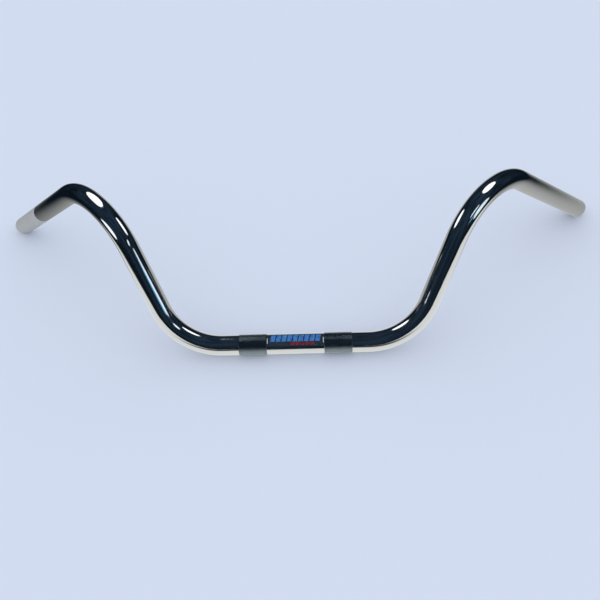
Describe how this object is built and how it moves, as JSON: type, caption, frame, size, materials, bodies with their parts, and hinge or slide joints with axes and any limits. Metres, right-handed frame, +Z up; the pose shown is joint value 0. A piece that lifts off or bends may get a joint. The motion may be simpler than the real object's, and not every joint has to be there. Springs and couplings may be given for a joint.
{
  "type": "motorcycle handlebar",
  "caption": "Chromed bent-tube handlebar with a straight centre, leaning risers, swept-back grips, knurled clamp bands and a small printed decal.",
  "frame": {"origin": "the middle of the straight centre section, on the tube's axis, midway between the two clamp bands", "axes": "+X along the centre section; +Y back, the way the grips sweep; +Z up, with the bar lying on a level surface on its clamp bands and on the lower rim of each open end"},
  "size_m": [0.7524, 0.243, 0.1556],
  "materials": {
    "chrome": "polished chrome plate; the knurled bands are the same plate over cut diamonds, so they look darker and matt",
    "film": "thin clear polyester carrier, gloss",
    "blue_ink": "printed ink under a gloss face",
    "red_ink": "printed ink under a gloss face",
    "white_ink": "printed ink under a gloss face"
  },
  "bodies": {
    "root": {"bar_tube": "chrome", "decal_film": "film", "decal_blue_block_1": "blue_ink", "decal_blue_block_2": "blue_ink", "decal_blue_block_3": "blue_ink", "decal_blue_block_4": "blue_ink", "decal_blue_block_5": "blue_ink", "decal_blue_block_6": "blue_ink", "decal_blue_block_7": "blue_ink", "decal_blue_block_8": "blue_ink", "decal_blue_block_9": "blue_ink", "decal_red_block_1": "red_ink", "decal_red_block_2": "red_ink", "decal_red_block_3": "red_ink", "decal_red_block_4": "red_ink", "decal_red_block_5": "red_ink", "decal_white_tick_minus_x": "white_ink", "decal_white_tick_plus_x": "white_ink"}
  },
  "joints": []
}
